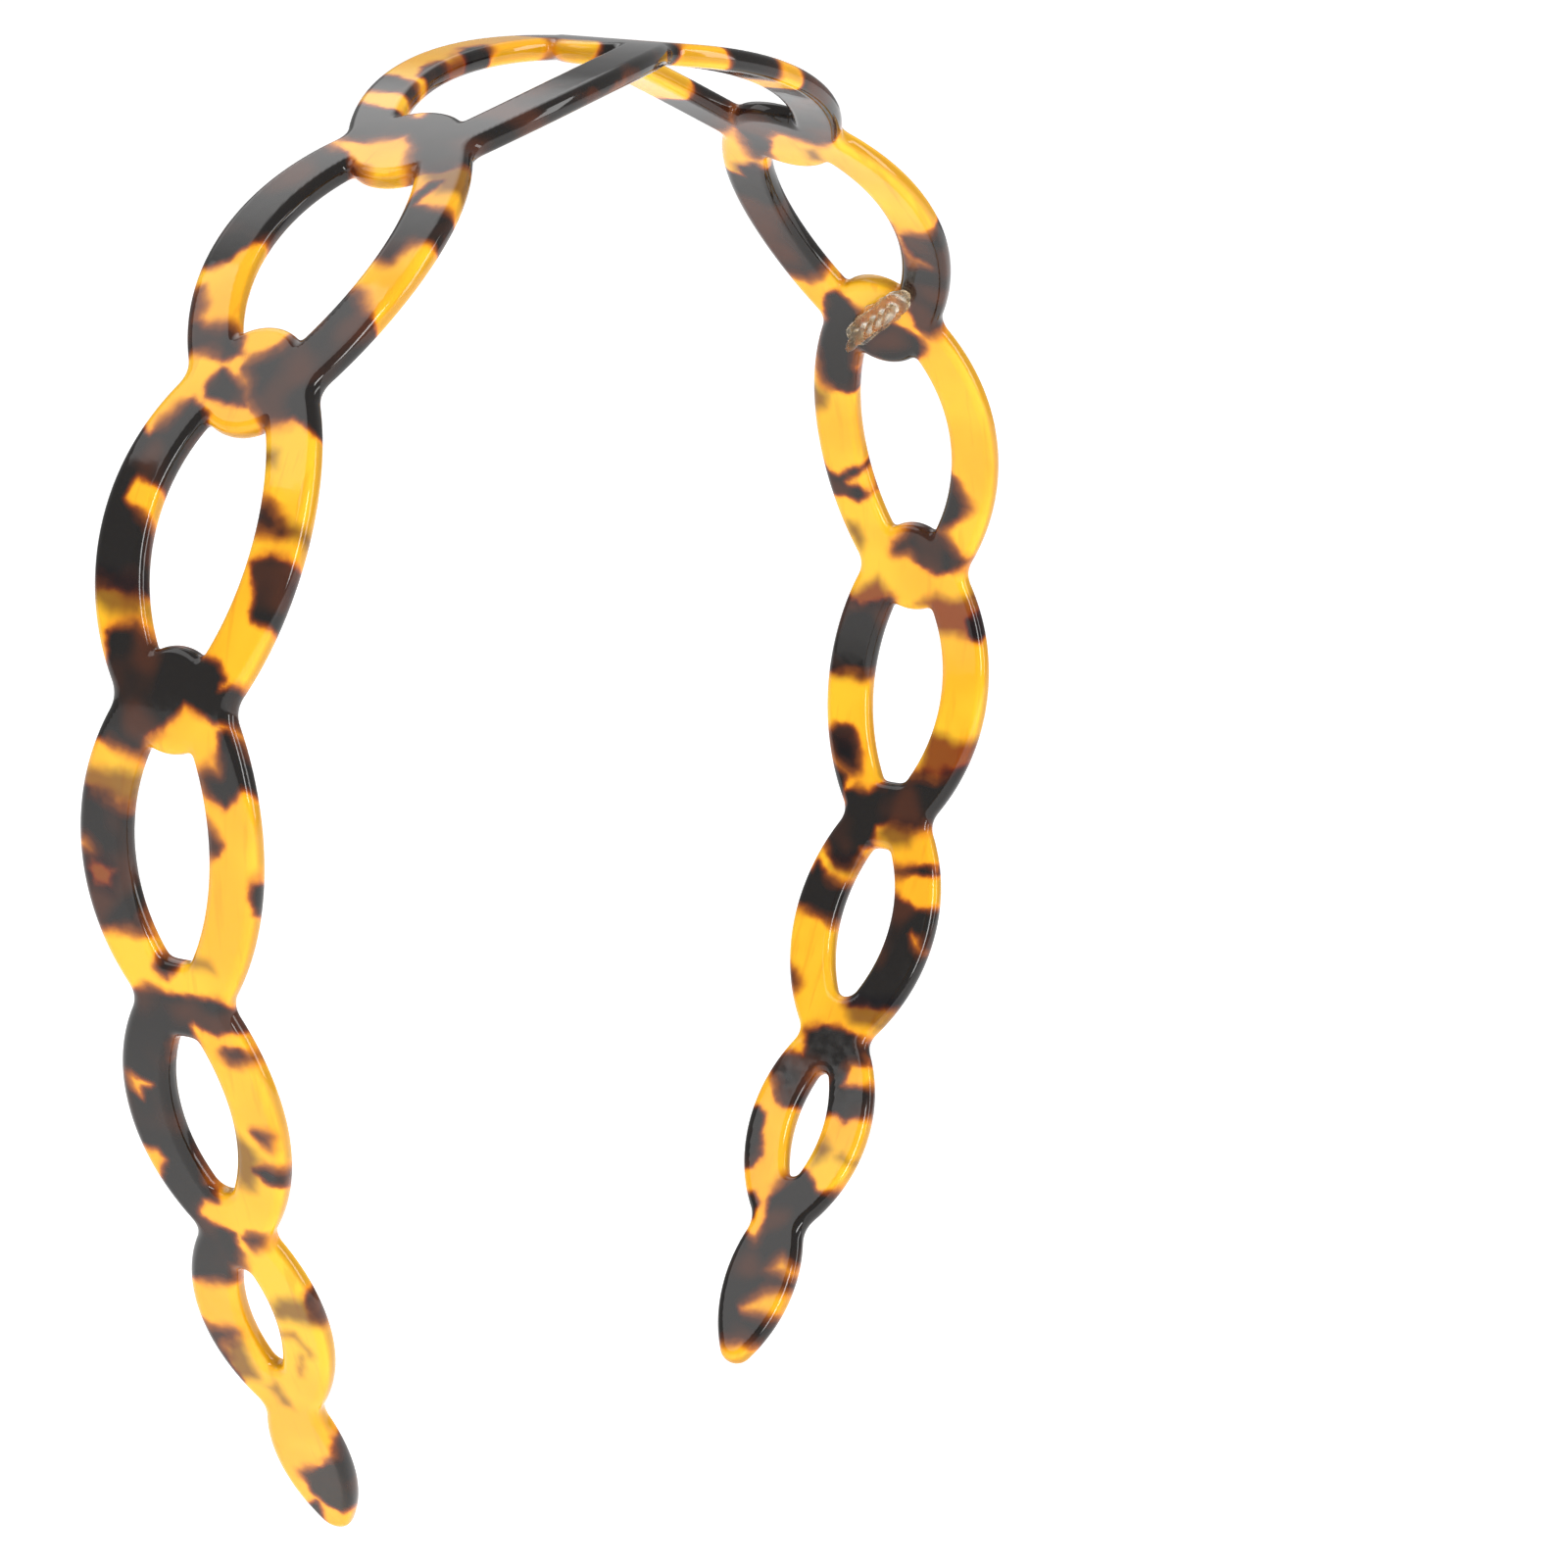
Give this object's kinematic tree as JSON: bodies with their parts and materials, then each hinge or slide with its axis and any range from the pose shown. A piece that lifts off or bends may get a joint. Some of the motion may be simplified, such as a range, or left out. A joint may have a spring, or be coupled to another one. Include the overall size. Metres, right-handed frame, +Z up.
{
  "type": "headband",
  "caption": "Rigid arched headband cut from one sheet as a row of tapering open oval links, ending in solid paddle tips, with a small glued comb inside each arm.",
  "frame": {"origin": "middle of the inner face at the crown, where the band rests on the head", "axes": "+Z up through the crown, +X to one ear, +Y to the back of the head"},
  "size_m": [0.141, 0.0236, 0.1432],
  "materials": {
    "tortoiseshell": "polished cellulose acetate, amber with dark brown blotches",
    "clear_comb": "clear moulded plastic",
    "adhesive": "clear to amber set adhesive with bubbles"
  },
  "bodies": {
    "root": {"band": "tortoiseshell", "comb_left": "clear_comb", "comb_right": "clear_comb", "adhesive_left": "adhesive", "adhesive_right": "adhesive"}
  },
  "joints": []
}
